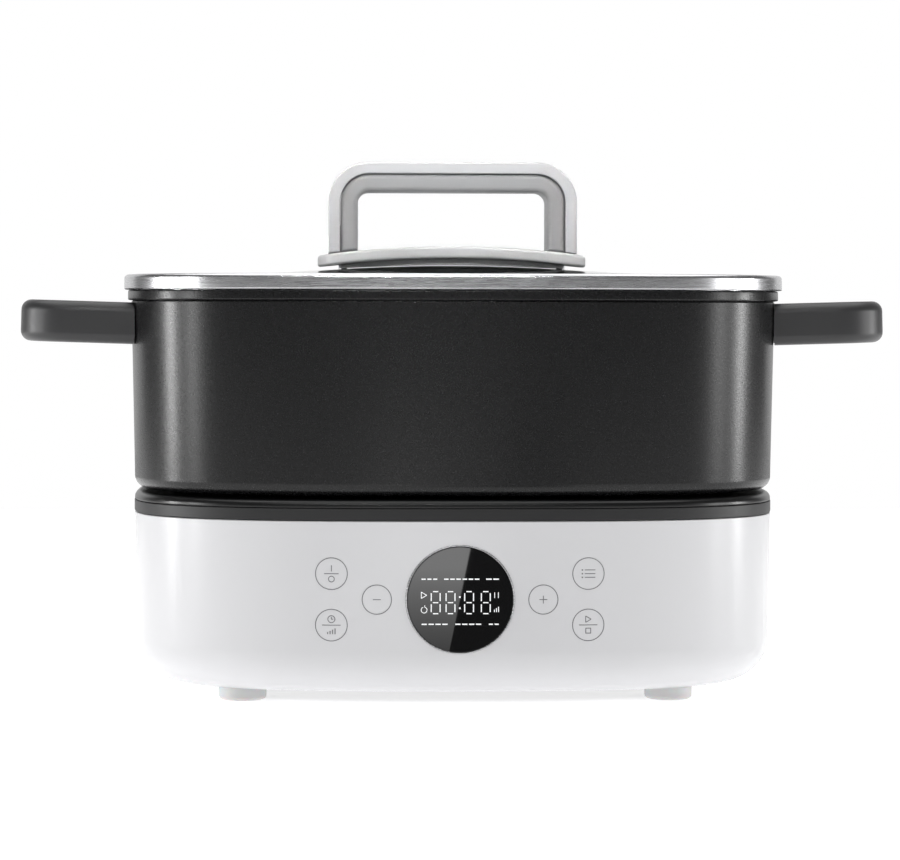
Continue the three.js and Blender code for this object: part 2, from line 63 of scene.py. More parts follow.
# %% [markdown]
# ## The outline everything shares
# Seen from above, the base, pan and lid are all one soft rectangle: straighter than an ellipse,
# with no point where a straight side turns into a corner. A superellipse draws it with one number.
# Each ring reaches a fixed distance further in X than in Y, so walls keep an even thickness.

# %% The soft rectangle
OUTLINE_POWER = 3.1
shell_low, shell_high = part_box("base_shell")
SPREAD = shell_high.x - shell_high.y
TURN_STEPS = 192


def half_depth(half):
    return max(half - SPREAD, half / 3)


def press_soft(bm):
    """Press a round turning into the soft rectangle, ring by ring."""
    for vert in bm.verts:
        half = math.hypot(vert.co.x, vert.co.y)
        if half < 1e-7:
            continue
        across, along = vert.co.x / half, vert.co.y / half
        bend = 2 / OUTLINE_POWER
        vert.co.x = math.copysign(half * abs(across) ** bend, across)
        vert.co.y = math.copysign(half_depth(half) * abs(along) ** bend, along)


print("each ring is", round(SPREAD / MM, 1), "mm wider than deep on each side")

# %% [markdown]
# ## Turning a profile
# A turned shape needs only its section. A wire of a few corners is drawn beside the axis, each
# corner that should be round is bevelled, and the wire is spun a full turn. That keeps every
# radius a number that can be read, where a sculpted or subdivided shape would only approach it.

# %% Profiles and turnings


def wire(bm, corners, closed):
    """Draw a profile of (radius, height, rounding) in millimetres, and round its corners."""
    verts = [bm.verts.new((r * MM, 0, z * MM)) for r, z, _ in corners]
    for a, b in zip(verts, verts[1:]):
        bm.edges.new((a, b))
    if closed:
        bm.edges.new((verts[-1], verts[0]))
    for vert, (_, _, rounding) in zip(verts, corners):
        if rounding:
            steps = 3 if rounding < 1 else 8
            bmesh.ops.bevel(
                bm, geom=[vert], offset=rounding * MM, segments=steps,
                profile=0.5, affect="VERTICES", material=-1,
            )


def turning(corners, closed=False, steps=TURN_STEPS, soft=True):
    bm = bmesh.new()
    wire(bm, corners, closed)
    bmesh.ops.spin(
        bm, geom=bm.verts[:] + bm.edges[:], cent=(0, 0, 0), axis=(0, 0, 1), dvec=(0, 0, 0),
        angle=math.tau, steps=steps, use_merge=True,
    )
    bmesh.ops.remove_doubles(bm, verts=bm.verts, dist=1e-6)
    if soft:
        press_soft(bm)
    return bm


# %% [markdown]
# ## From mesh to piece
# Every piece ends the same way: its faces are turned outwards, it is shaded smooth except over
# real edges, it is hung on the body it rides on, and the plain solid it stands for is hidden.
# Normals are weighted by area, so a flat face beside a small bevel stays flat and mirrors like one.

# %% Finish a piece
SHARP = math.radians(38)
materials = {}


def make_piece(bm, name, slot, body, *nodes, sharp=SHARP, material=None):
    bmesh.ops.recalc_face_normals(bm, faces=bm.faces)
    mesh = bpy.data.meshes.new(name)
    bm.to_mesh(mesh)
    bm.free()
    mesh.shade_smooth()
    mesh.set_sharp_from_angle(angle=sharp)
    piece = bpy.data.objects.new(name, mesh)
    bpy.context.scene.collection.objects.link(piece)
    mesh.materials.append(materials[material or slot])
    even = piece.modifiers.new("even shading", "WEIGHTED_NORMAL")
    even.keep_sharp = True
    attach(piece, body)
    if nodes:
        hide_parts(*nodes)
    print(f"{name}: {len(mesh.polygons)} faces")
    return piece


def carve(bm, *cutters):
    """Cut closed meshes out of a closed mesh."""
    def plain(source, name):
        bmesh.ops.recalc_face_normals(source, faces=source.faces)
        mesh = bpy.data.meshes.new(name)
        source.to_mesh(mesh)
        source.free()
        blank = bpy.data.objects.new(name, mesh)
        bpy.context.scene.collection.objects.link(blank)
        return blank
    blank = plain(bm, "blank")
    tools = [plain(cutter, "cutter") for cutter in cutters]
    for tool in tools:
        cut = blank.modifiers.new("cut", "BOOLEAN")
        cut.object = tool
        cut.operation = "DIFFERENCE"
        cut.solver = "EXACT"
    cut_blank = blank.evaluated_get(bpy.context.evaluated_depsgraph_get())
    result = bpy.data.meshes.new_from_object(cut_blank)
    carved = bmesh.new()
    carved.from_mesh(result)
    for done in [blank, *tools]:
        bpy.data.objects.remove(done)
    return carved


# %% [markdown]
# ## Materials
# Each finish is named for what it is made of and how its surface was made. Colours are sRGB hex
# values turned to linear by one function, and one small helper adds a node with its links.

# %% Colour and node helpers
WHITE = (1, 1, 1, 1)


def srgb(code):
    """A hex colour such as #e8e8e8 as linear red, green, blue and alpha."""
    channels = [int(code[i:i + 2], 16) / 255 for i in (1, 3, 5)]
    linear = [c / 12.92 if c <= 0.04045 else ((c + 0.055) / 1.055) ** 2.4 for c in channels]
    return (*linear, 1.0)


def add(tree, kind, links=None, **settings):
    """Add a node; settings are its properties or its inputs' values, links feed its inputs."""
    node = tree.nodes.new(kind)
    for key, value in settings.items():
        if hasattr(node, key):
            setattr(node, key, value)
        else:
            node.inputs[key.replace("_", " ")].default_value = value
    for key, source in (links or {}).items():
        tree.links.new(source, node.inputs[key])
    return node


def surface(name, colour, roughness, metallic=0.0, **sockets):
    """Start a material, with its constant values set on the shader's own sockets."""
    material = bpy.data.materials.new(name)
    material.use_nodes = True
    shader = material.node_tree.nodes["Principled BSDF"]
    shader.inputs["Base Color"].default_value = srgb(colour)
    shader.inputs["Roughness"].default_value = roughness
    shader.inputs["Metallic"].default_value = metallic
    for key, value in sockets.items():
        shader.inputs[key.replace("_", " ")].default_value = value
    return material, material.node_tree, shader


def grain(tree, shader, size_mm, depth_mm, stretch=(1, 1, 1), detail=2.0):
    """A bump of noise whose grains are size_mm across, on the object's own coordinates."""
    place = add(tree, "ShaderNodeTexCoord")
    scaled = add(tree, "ShaderNodeMapping", {"Vector": place.outputs["Object"]}, Scale=stretch)
    noise = add(tree, "ShaderNodeTexNoise", {"Vector": scaled.outputs["Vector"]},
                Scale=1 / (size_mm * MM), Detail=detail)
    bump = add(tree, "ShaderNodeBump", {"Height": noise.outputs["Fac"]}, Distance=depth_mm * MM)
    tree.links.new(bump.outputs["Normal"], shader.inputs["Normal"])
    return noise


def vary(tree, shader, socket, fac, low, high):
    """Let a pattern move one number of the shader between low and high."""
    spread = add(tree, "ShaderNodeMapRange", {"Value": fac}, To_Min=low, To_Max=high)
    tree.links.new(spread.outputs["Result"], shader.inputs[socket])


# %% [markdown]
# ### The pan's coating
# The pan is cast aluminium sprayed with a non-stick coating. Ground mineral in it gives fine light
# specks under a millimetre apart in a charcoal that is never quite even, with a soft satin
# reflection. Cell noise picks out single specks, which smooth noise would blur into cloud.

# %% Non-stick coating
SPECK_MM = 0.75


def nonstick_coating():
    material, tree, shader = surface(
        "nonstick_coating", "#1a1a1b", 0.28, IOR=1.5, Specular_IOR_Level=0.36)
    noise = grain(tree, shader, 0.9, 0.03, detail=3.0)
    place = add(tree, "ShaderNodeTexCoord")
    cells = add(tree, "ShaderNodeTexVoronoi", {"Vector": place.outputs["Object"]},
                Scale=1 / (SPECK_MM * MM))
    speck = add(tree, "ShaderNodeMapRange", {"Value": cells.outputs["Distance"]},
                From_Min=0.10, From_Max=0.24, To_Min=1.0, To_Max=0.0)
    ink = add(tree, "ShaderNodeMix", {"Factor": speck.outputs["Result"]}, data_type="RGBA")
    ink.inputs[6].default_value = srgb("#0e0e0f")
    ink.inputs[7].default_value = srgb("#3a3a3c")
    tree.links.new(ink.outputs[2], shader.inputs["Base Color"])
    vary(tree, shader, "Roughness", noise.outputs["Fac"], 0.24, 0.32)
    return material


materials["nonstick_coating"] = nonstick_coating()

# %% [markdown]
# ### Moulded plastics
# The housing is white ABS from a polished mould: it is glossy, but a moulded wall is never a
# mirror, so a wide shallow wave and a slight drift in gloss break up its reflections. The drift is
# kept narrow, so that it never shows as a patch. The trim and grip are moulded against an etched
# tool, which leaves a fine even grain and a satin look.

# %% Plastics


def polished_abs(name, colour, roughness):
    material, tree, shader = surface(name, colour, roughness, IOR=1.53)
    wave = grain(tree, shader, 28, 0.02, detail=1.0)
    vary(tree, shader, "Roughness", wave.outputs["Fac"], roughness - 0.02, roughness + 0.03)
    return material


def etched_plastic(name, colour, roughness, grain_mm=0.45):
    material, tree, shader = surface(name, colour, roughness, IOR=1.5)
    etch = grain(tree, shader, grain_mm, 0.014, detail=2.0)
    vary(tree, shader, "Roughness", etch.outputs["Fac"], roughness - 0.04, roughness + 0.06)
    return material


materials["white_abs"] = polished_abs("white_abs", "#dcdcde", 0.24)
materials["gloss_black"] = polished_abs("gloss_black", "#060607", 0.3)
materials["grey_plastic"] = etched_plastic("grey_plastic", "#aaaaab", 0.42)
# The seat is the same grey plastic as the grip. Its lighter copy is painted light, standing in for
# more light falling on the seat.
materials["painted_light_seat_plastic"] = etched_plastic("painted_light_seat_plastic", "#dadadb", 0.42)
materials["satin_trim"] = etched_plastic("satin_trim", "#1d1d1e", 0.46)
materials["phenolic"] = etched_plastic("phenolic", "#2f2f30", 0.40)
materials["black_plastic"] = etched_plastic("black_plastic", "#1b1b1c", 0.5)

# %% [markdown]
# ### Brushed and plain metal
# The lid's rim is stainless steel strip, brushed along its length before it was rolled. The lines
# therefore run round the rim: noise that is fine in Z and long in X and Y draws them. Cast and
# plated parts inside have a plain grain instead.

# %% Metals


def brushed_steel():
    material, tree, shader = surface("brushed_steel", "#c9c9cb", 0.26, 1.0)
    lines = grain(tree, shader, 0.35, 0.0012, stretch=(0.02, 0.02, 1.0), detail=2.0)
    vary(tree, shader, "Roughness", lines.outputs["Fac"], 0.20, 0.34)
    return material


def metal(name, colour, roughness, grain_mm):
    material, tree, shader = surface(name, colour, roughness, 1.0)
    cast = grain(tree, shader, grain_mm, 0.02)
    vary(tree, shader, "Roughness", cast.outputs["Fac"], roughness - 0.08, roughness + 0.08)
    return material


materials["brushed_steel"] = brushed_steel()
materials["cast_aluminium"] = metal("cast_aluminium", "#b9bbbd", 0.42, 0.9)
materials["plain_steel"] = metal("plain_steel", "#a5a7aa", 0.34, 0.5)

# %% [markdown]
# ### Glass, acrylic and silicone
# The lid is tempered soda glass, so it keeps glass's own index of refraction. The display window is
# acrylic dyed black, polished flat. Silicone feet are milky: light enters them a few millimetres.

# %% Clear and soft materials


def tempered_glass():
    material, tree, shader = surface(
        "tempered_glass", "#f3f7f6", 0.02, IOR=1.52, Transmission_Weight=1.0)
    grain(tree, shader, 45, 0.02, detail=1.0)
    return material


def display_acrylic():
    material, tree, shader = surface("display_acrylic", "#0b0b0c", 0.015, IOR=1.49)
    grain(tree, shader, 30, 0.004, detail=1.0)
    return material


def silicone(name, colour, roughness, depth_mm):
    material, tree, shader = surface(
        name, colour, roughness, IOR=1.43, Subsurface_Weight=0.4, Subsurface_Scale=depth_mm * MM)
    grain(tree, shader, 0.6, 0.01)
    return material


materials["tempered_glass"] = tempered_glass()
materials["display_acrylic"] = display_acrylic()
materials["foot_silicone"] = silicone("foot_silicone", "#d6d6d6", 0.5, 3.0)
materials["soft_silicone"] = silicone("soft_silicone", "#9a9a9a", 0.6, 1.0)

# %% [markdown]
# ### Circuit boards and printing
# Solder mask is a green lacquer over a fine weave. The key circles and symbols are a grey ink
# printed on the shell, and the display's digits are small lit areas behind the window.

# %% Boards, ink and lit digits


def circuit_board():
    material, tree, shader = surface("circuit_board", "#1c5a35", 0.4, IOR=1.5)
    grain(tree, shader, 0.5, 0.01)
    return material


def key_ink():
    material, tree, shader = surface("key_ink", "#77777a", 0.5, IOR=1.5)
    grain(tree, shader, 0.3, 0.004)
    return material


def lit_digit():
    material, tree, shader = surface("lit_digit", "#d9dadb", 0.4, IOR=1.49, Emission_Strength=0.55)
    shader.inputs["Emission Color"].default_value = srgb("#f2f4f5")
    grain(tree, shader, 0.4, 0.002)
    return material


materials["circuit_board"] = circuit_board()
materials["key_ink"] = key_ink()
materials["lit_digit"] = lit_digit()
print(len(materials), "materials")

# %% [markdown]
# ## The nodes that keep their own shape
# Screws, boards, pads and seals are already the right shape in the frame. They only need the finish
# that their slot names, so this cell puts one material on each of them.

# %% Finish the nodes that keep their own shape
slot_of = {part["node"]: part["material_slot"] for part in frame["record"]["subparts"]}
for name, node in frame["nodes"].items():
    node.data.materials.clear()
    node.data.materials.append(materials[slot_of[name]])

# %% [markdown]
# ## The housing
# The base is one moulded shell: nearly upright walls with a little draft, a generous radius under
# them, and a hole for the display. It is a turning with an inner and an outer side, pressed soft.
# The holes for the window and the inlet are cut afterwards, where the frame says those pieces are.

# %% Housing
WALL = 2.8
UNDER_RADIUS = 21.5
DRAFT = 0.8
COVER_GAP = 0.4
COVER_LEDGE = 10.4
COVER_SEAT = 2.6
INLET_MOUTH = (13.3, 9.3)


def mm(value):
    return value / MM


def swing(bm, angle, axis):
    """Rotate a whole mesh about an axis through the origin."""
    bmesh.ops.rotate(bm, verts=bm.verts, cent=(0, 0, 0), matrix=Matrix.Rotation(angle, 3, axis))


def cylinder_y(radius_mm, x, z, y_from, y_to, segments=96):
    """A round bar along Y, all in millimetres."""
    bm = bmesh.new()
    bmesh.ops.create_cone(
        bm, cap_ends=True, segments=segments, radius1=radius_mm * MM, radius2=radius_mm * MM,
        depth=abs(y_to - y_from) * MM,
    )
    swing(bm, math.pi / 2, "X")
    bmesh.ops.translate(bm, verts=bm.verts, vec=(x * MM, (y_from + y_to) / 2 * MM, z * MM))
    return bm


def cylinder_z(radius_mm, x, y, z_from, z_to, segments=48):
    bm = bmesh.new()
    bmesh.ops.create_cone(
        bm, cap_ends=True, segments=segments, radius1=radius_mm * MM, radius2=radius_mm * MM,
        depth=(z_to - z_from) * MM,
    )
    bmesh.ops.translate(bm, verts=bm.verts, vec=(x * MM, y * MM, (z_from + z_to) / 2 * MM))
    return bm


def block(low, high):
    """A plain cutting block between two corners, in metres."""
    bm = bmesh.new()
    bmesh.ops.create_cube(bm, size=1)
    bmesh.ops.scale(bm, verts=bm.verts, vec=Vector(high) - Vector(low))
    bmesh.ops.translate(bm, verts=bm.verts, vec=(Vector(low) + Vector(high)) / 2)
    return bm


shell_half, shell_bottom, shell_top = mm(shell_high.x), mm(shell_low.z), mm(shell_high.z)
under_half = shell_half - DRAFT
_, cover_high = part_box("bottom_cover")
opening = mm(cover_high.x) + COVER_GAP
seat_z = shell_bottom + COVER_SEAT
ring_low, ring_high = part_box("display_ring")
display_z = mm(ring_low.z + ring_high.z) / 2
display_radius = mm(ring_high.x)

# Corner rounding on a wire is the distance cut back along each side, which is the radius where
# the sides meet at 90 degrees.
housing = turning([
    (opening - COVER_LEDGE, seat_z, 0),
    (opening, seat_z, 0),
    (opening, shell_bottom, 0.6),
    (under_half, shell_bottom, UNDER_RADIUS),
    (shell_half, shell_top, 0.7),
    (shell_half - WALL, shell_top, 0.5),
    (under_half - WALL, shell_bottom + WALL, UNDER_RADIUS - WALL),
    (opening + WALL, shell_bottom + WALL, 0),
    (opening + WALL - 1, seat_z + WALL, 0),
    (opening - COVER_LEDGE, seat_z + WALL, 0),
], closed=True)
inlet_low, inlet_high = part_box("power_inlet")
inlet_z = mm(inlet_low.z + inlet_high.z) / 2
housing = carve(
    housing,
    cylinder_y(display_radius + 0.15, 0, display_z, mm(shell_low.y) - 10, mm(shell_low.y) + 12),
    block(
        (-INLET_MOUTH[0] * MM, shell_high.y - 0.012, (inlet_z - INLET_MOUTH[1]) * MM),
        (INLET_MOUTH[0] * MM, shell_high.y + 0.01, (inlet_z + INLET_MOUTH[1]) * MM),
    ),
)
make_piece(housing, "housing", "white_abs", "base", "base_shell", sharp=math.radians(30))

# %% [markdown]
# ## The trim band and tray
# A satin band caps the housing with a crisp upper edge. Above it a glossy black tray, set back a
# hair, turns its shoulder inwards and drops into the well that the pan stands in.

# %% Trim band and tray
band_low, band_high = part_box("trim_band")
_, tray_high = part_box("pan_tray")
trim_half, trim_top, tray_top = mm(band_high.x), mm(band_high.z), mm(tray_high.z)
TRIM_DEPTH = 3
WELL = 147
TRAY_INNER = 128
WELL_FLOOR = 94
TRAY_WALL = 2.5
trim = turning([
    (trim_half - TRIM_DEPTH, mm(band_low.z), 0),
    (trim_half, mm(band_low.z), 0.3),
    (trim_half, trim_top, 0.35),
    (trim_half - TRIM_DEPTH, trim_top, 0),
], closed=True)
make_piece(trim, "trim", "satin_trim", "base", "trim_band")
shoulder = trim_half - 0.2
lip = trim_half - TRIM_DEPTH - 0.3
tray = turning([
    (TRAY_INNER, WELL_FLOOR - TRAY_WALL, 0),
    (WELL + 1.8, WELL_FLOOR - TRAY_WALL, 0),
    (WELL + 2.6, tray_top - TRAY_WALL, 0),
    (lip - 2.4, tray_top - TRAY_WALL, 0),
    (lip - 2.4, shell_top - 4, 0),
    (lip, shell_top - 4, 0),
    (lip, trim_top + 0.3, 0),
    (shoulder, trim_top + 0.3, 0.3),
    (shoulder, tray_top, 3.3),
    (WELL, tray_top, 1.2),
    (WELL - 0.6, WELL_FLOOR, 2.0),
    (TRAY_INNER, WELL_FLOOR, 0.4),
], closed=True)
make_piece(tray, "tray", "gloss_black", "base", "pan_tray")

# %% [markdown]
# ## The pan
# A cast pan has a thick flat bottom, walls that lean out so it leaves its mould, and a band round
# the rim. The shallow groove under that band catches a line of light, so it is real geometry.

# %% Pan body
BAND_STEP = 1.8
BAND_HEIGHT = 4.8
PAN_LEAN = 1.8
PAN_WALL = 2.5
PAD_RADIUS = 142
PAD_HEIGHT = 4.4
pan_low, pan_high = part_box("pan_body")
rim_z, pad_z, band_half = mm(pan_high.z), mm(pan_low.z), mm(pan_high.x)
body_half = band_half - BAND_STEP
low_half = body_half - PAN_LEAN
band_z = rim_z - BAND_HEIGHT
under_z = pad_z + PAD_HEIGHT
floor_z = under_z + PAN_WALL
pan = turning([
    (0, pad_z, 0),
    (PAD_RADIUS, pad_z, 0.6),
    (PAD_RADIUS + 2, under_z, 0.6),
    (low_half, under_z, 6),
    (body_half, band_z - 0.9, 0.3),
    (body_half - 0.8, band_z - 0.5, 0.2),
    (band_half, band_z, 0.5),
    (band_half, rim_z, 0.9),
    (body_half - PAN_WALL, rim_z, 0.9),
    (low_half - PAN_WALL, floor_z, 12),
    (0, floor_z, 0),
])
make_piece(pan, "pan", "nonstick_coating", "pan", "pan_body", sharp=math.radians(50))

# %% [markdown]
# ## Outlines with rounded corners
# Handles start as flat outlines. A face is made from the few corners the outline has, the corners
# are bevelled in the plane, the face is extruded to its thickness, and the long edges are bevelled.

# %% Outline helper


def outline_solid(corners, thickness_mm, edge_mm, edge_steps=6):
    """Corners are (x, y, rounding) in millimetres; the solid is centred on z = 0."""
    bm = bmesh.new()
    verts = [bm.verts.new((x * MM, y * MM, 0)) for x, y, _ in corners]
    bm.faces.new(verts)
    for vert, (_, _, rounding) in zip(verts, corners):
        if rounding:
            bmesh.ops.bevel(
                bm, geom=[vert], offset=rounding * MM, segments=12, profile=0.5,
                affect="VERTICES", material=-1,
            )
    raised = bmesh.ops.extrude_face_region(bm, geom=bm.faces[:])["geom"]
    top = [item for item in raised if isinstance(item, bmesh.types.BMVert)]
    bmesh.ops.translate(bm, verts=top, vec=(0, 0, thickness_mm * MM))
    bmesh.ops.translate(bm, verts=bm.verts, vec=(0, 0, -thickness_mm / 2 * MM))
    if edge_mm:
        rims = [e for e in bm.edges if abs(e.verts[0].co.z - e.verts[1].co.z) < 1e-7]
        bmesh.ops.bevel(
            bm, geom=rims, offset=edge_mm * MM, segments=edge_steps, profile=0.5,
            affect="EDGES", material=-1, clamp_overlap=False,
        )
    return bm


def stand_up(bm):
    """Turn a solid drawn in X and Y so that its Y points up and its thickness lies along Y."""
    swing(bm, math.pi / 2, "X")
    return bm


# %% [markdown]
# ## The loop handles
# Each side handle is a phenolic loop with a deep rounded section, tilted up a little. Its root is
# cut by the pan's own outline, grown by a small gap, so the joint follows the wall all the way.

# %% Loop handles
_, loop_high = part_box("pan_handle_right")
reach = mm(loop_high.x)
loop_half = mm(loop_high.y)
ARM = 19
BAR = 20
LOOP_HEIGHT = 21
LOOP_TILT = 1.6
LOOP_MIDDLE = 187.4
LOOP_EDGE = 5.2
ROOT = 150
FIT_GAP = 0.4
CUT_LOW, CUT_HIGH = 150, 230
strip_out = body_half + 2.8
lean = math.atan2(LOOP_TILT, reach - body_half)
bracket_low, bracket_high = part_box("pan_bracket_right")
strip_low, strip_high = mm(bracket_low.z), mm(bracket_high.z)
screw_low, screw_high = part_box("handle_screw_rear_right")
screw_x, screw_y = mm(screw_low.x + screw_high.x) / 2, mm(screw_low.y + screw_high.y) / 2

for side, sign in (("left", -1), ("right", 1)):
    loop = outline_solid([
        (ROOT, -loop_half, 0),
        (reach, -loop_half, 26),
        (reach, loop_half, 26),
        (ROOT, loop_half, 0),
        (ROOT, loop_half - ARM, 0),
        (reach - BAR, loop_half - ARM, 14),
        (reach - BAR, ARM - loop_half, 14),
        (ROOT, ARM - loop_half, 0),
    ], LOOP_HEIGHT, LOOP_EDGE)
    bmesh.ops.rotate(
        loop, verts=loop.verts, cent=(body_half * MM, 0, 0), matrix=Matrix.Rotation(-lean, 3, "Y"))
    bmesh.ops.translate(loop, verts=loop.verts, vec=(0, 0, LOOP_MIDDLE * MM))
    room = turning([
        (0, CUT_LOW, 0), (body_half + FIT_GAP, CUT_LOW, 0), (body_half + FIT_GAP, band_z - 1.2, 0),
        (band_half + FIT_GAP, band_z - 0.8, 0), (band_half + FIT_GAP, CUT_HIGH, 0),
        (0, CUT_HIGH, 0),
    ])
    pocket = turning([
        (body_half - 5, strip_low - FIT_GAP, 0), (strip_out + FIT_GAP, strip_low - FIT_GAP, 0),
        (strip_out + FIT_GAP, strip_high + FIT_GAP, 0), (body_half - 5, strip_high + FIT_GAP, 0),
    ], closed=True)
    skin = loop_half - 1.6
    pocket = carve(
        pocket, block((-1, -1, 0), (1, -skin * MM, 1)), block((-1, skin * MM, 0), (1, 1, 1)))
    loop = carve(loop, room, pocket, *[
        cylinder_z(4.4, screw_x, y, CUT_LOW, LOOP_MIDDLE - 5) for y in (-screw_y, screw_y)])
    if sign < 0:
        swing(loop, math.pi, "Z")
    make_piece(loop, f"loop_handle_{side}", "phenolic", "pan", f"pan_handle_{side}")

# %% [markdown]
# ## The lid's rim, gasket and glass
# The rim is thin steel strip folded round the edge of the glass, with a skirt that drops inside the
# pan. The glass is flat at its edge and rises in a gentle bell to the middle.

# %% Lid rim and glass
rim_low, rim_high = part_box("lid_rim")
rim_half, rim_top, skirt_z = mm(rim_high.x), mm(rim_high.z), mm(rim_low.z)
SHEET = 0.8
LIP = 7.7
SKIRT = 4.5
rim_bottom = skirt_z + SKIRT
lip_in = rim_half - LIP
rim = turning([
    (lip_in - 1, skirt_z, 0.3),
    (lip_in, skirt_z, 0.3),
    (lip_in, rim_bottom, 0),
    (rim_half, rim_bottom, 0.6),
    (rim_half, rim_top, 2.0),
    (lip_in, rim_top, 0.3),
    (lip_in, rim_top - SHEET, 0),
    (rim_half - SHEET, rim_top - SHEET, 1.0),
    (rim_half - SHEET, rim_bottom + SHEET, 0),
    (lip_in - 1, rim_bottom + SHEET, 0),
], closed=True)
make_piece(rim, "rim", "brushed_steel", "lid", "lid_rim")

GLASS_THICKNESS = 4
GLASS_FLAT_FROM = 159
GLASS_RISE = 6.4
SCREW_HOLE = 3
VENT_HOLE = 4.2
DRILL = (190, 240)
_, glass_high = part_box("lid_glass")
glass_half = mm(glass_high.x)
glass_edge = mm(glass_high.z) - GLASS_RISE


def glass_z(half):
    inward = max(0, 1 - half / GLASS_FLAT_FROM)
    return glass_edge + GLASS_RISE * (1 - math.cos(math.pi * inward)) / 2


rings = [GLASS_FLAT_FROM * i / 24 for i in range(25)]
under = [(half, glass_z(half) - GLASS_THICKNESS, 0) for half in rings]
over = [(half, glass_z(half), 0) for half in reversed(rings)]
edge = [(glass_half, glass_edge - GLASS_THICKNESS, 1.2), (glass_half, glass_edge, 1.2)]
glass = turning(under + edge + over)
vent_low, vent_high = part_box("steam_vent")
vent_y = mm(vent_low.y + vent_high.y) / 2
washer_low, washer_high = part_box("handle_washer_right")
post_x = mm(washer_low.x + washer_high.x) / 2
holes = [cylinder_z(SCREW_HOLE, x, 0, *DRILL) for x in (-post_x, post_x)]
glass = carve(glass, cylinder_z(VENT_HOLE, 0, vent_y, *DRILL), *holes)
make_piece(glass, "glass", "tempered_glass", "lid", "lid_glass", sharp=math.radians(40))

# %% [markdown]
# ## The lid handle
# An arched seat follows the glass. On it stands a white arch, lined by a grey grip with a softly
# rounded face. The seat is an oblong cut across at many stations, then bent along its length.

# %% Handle seat
seat_low, seat_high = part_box("handle_seat")
seat_half, seat_top_z = mm(seat_high.x), mm(seat_high.z)
seat_depth = mm(seat_high.y - seat_low.y)
SEAT_DROP = 4.6
SEAT_THICKNESS = 6
seat_middle = seat_top_z - SEAT_THICKNESS / 2
seat = outline_solid([
    (-seat_half, -seat_depth / 2, seat_depth / 2 - 0.1),
    (seat_half, -seat_depth / 2, seat_depth / 2 - 0.1),
    (seat_half, seat_depth / 2, seat_depth / 2 - 0.1),
    (-seat_half, seat_depth / 2, seat_depth / 2 - 0.1),
], SEAT_THICKNESS, 1.6)
for station in range(-9, 10):
    bmesh.ops.bisect_plane(
        seat, geom=seat.verts[:] + seat.edges[:] + seat.faces[:],
        plane_co=(station * seat_half / 10 * MM, 0, 0), plane_no=(1, 0, 0),
    )
for vert in seat.verts:
    vert.co.z += (seat_middle - SEAT_DROP * (mm(vert.co.x) / seat_half) ** 2) * MM
# The seat wears the lighter copy of the grey plastic: painted light on the same material as the
# grip.
make_piece(seat, "seat", "grey_plastic", "lid", "handle_seat", material="painted_light_seat_plastic")

# %% Arch shell and grip
arch_low, arch_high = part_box("handle_shell")
arch_half, arch_top, arch_depth = mm(arch_high.x), mm(arch_high.z), mm(arch_high.y - arch_low.y)
SHELL_THICKNESS = 6
GRIP_THICKNESS = 9.2
ARCH_CORNER = 21


def arch(outer_in, inner_in, depth, edge, steps):
    """A U of the arch, between two insets from its outer face, standing on the seat."""
    def stand(x):
        return seat_top_z - SEAT_DROP * (x / seat_half) ** 2 + 0.4
    outer, inner = arch_half - outer_in, arch_half - inner_in
    corner_out, corner_in = ARCH_CORNER - outer_in, ARCH_CORNER - inner_in
    return stand_up(outline_solid([
        (-outer, stand(outer), 0),
        (-inner, stand(inner), 0),
        (-inner, arch_top - inner_in, corner_in),
        (inner, arch_top - inner_in, corner_in),
        (inner, stand(inner), 0),
        (outer, stand(outer), 0),
        (outer, arch_top - outer_in, corner_out),
        (-outer, arch_top - outer_in, corner_out),
    ], depth, edge, steps))


shell = arch(0, SHELL_THICKNESS, arch_depth, 0.9, 4)
make_piece(shell, "arch_shell", "white_abs", "lid", "handle_shell")
grip = arch(SHELL_THICKNESS + 0.3, SHELL_THICKNESS + GRIP_THICKNESS, arch_depth - 1.2, 2.6, 6)
make_piece(grip, "arch_grip", "grey_plastic", "lid", "handle_grip")

# %% [markdown]
# ## Feet
# Each foot is a soft disc with a rounded sole, so it meets the table on a slightly smaller circle.

# %% Feet
for place in ("front_left", "front_right", "rear_left", "rear_right"):
    low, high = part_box(f"foot_{place}")
    radius, top = mm(high.x - low.x) / 2, mm(high.z)
    foot = turning(
        [(0, 0, 0), (radius, 0, 2.2), (radius, top, 0.3), (0, top, 0)], steps=64, soft=False)
    bmesh.ops.translate(foot, verts=foot.verts, vec=((low.x + high.x) / 2, (low.y + high.y) / 2, 0))
    make_piece(foot, f"sole_{place}", "foot_silicone", "base", f"foot_{place}")

# %% [markdown]
# ## The probe's spring
# A spring is one round wire wound on a helix: a small circle is spun about the axis and lifted a
# little at every step. The coil is given a mesh of its own.

# %% Probe spring
COIL_TURNS = 4
COIL_STEPS = 24
WIRE_RADIUS = 0.8
COIL_RADIUS = 6.4
spring_low, spring_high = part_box("sensor_spring")
coil_low, coil_high = mm(spring_low.z) + WIRE_RADIUS, mm(spring_high.z) - WIRE_RADIUS
coil = bmesh.new()
bmesh.ops.create_circle(coil, cap_ends=True, segments=12, radius=WIRE_RADIUS * MM)
swing(coil, math.pi / 2, "X")
bmesh.ops.translate(coil, verts=coil.verts, vec=(COIL_RADIUS * MM, 0, coil_low * MM))
bmesh.ops.spin(
    coil, geom=coil.verts[:] + coil.edges[:], cent=(0, 0, 0), axis=(0, 0, 1),
    dvec=(0, 0, (coil_high - coil_low) / (COIL_TURNS * COIL_STEPS) * MM),
    angle=math.tau * COIL_TURNS, steps=COIL_TURNS * COIL_STEPS, use_merge=False,
)
bmesh.ops.holes_fill(coil, edges=coil.edges, sides=0)
spring = make_piece(coil, "probe_coil", "plain_steel", "base", "sensor_spring")
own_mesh(spring)

# %% [markdown]
# ## The display
# A flat black window sits in a thin bright ring. Its digits are lit from behind and its symbols are
# plain shapes, so nothing on it reads as words.

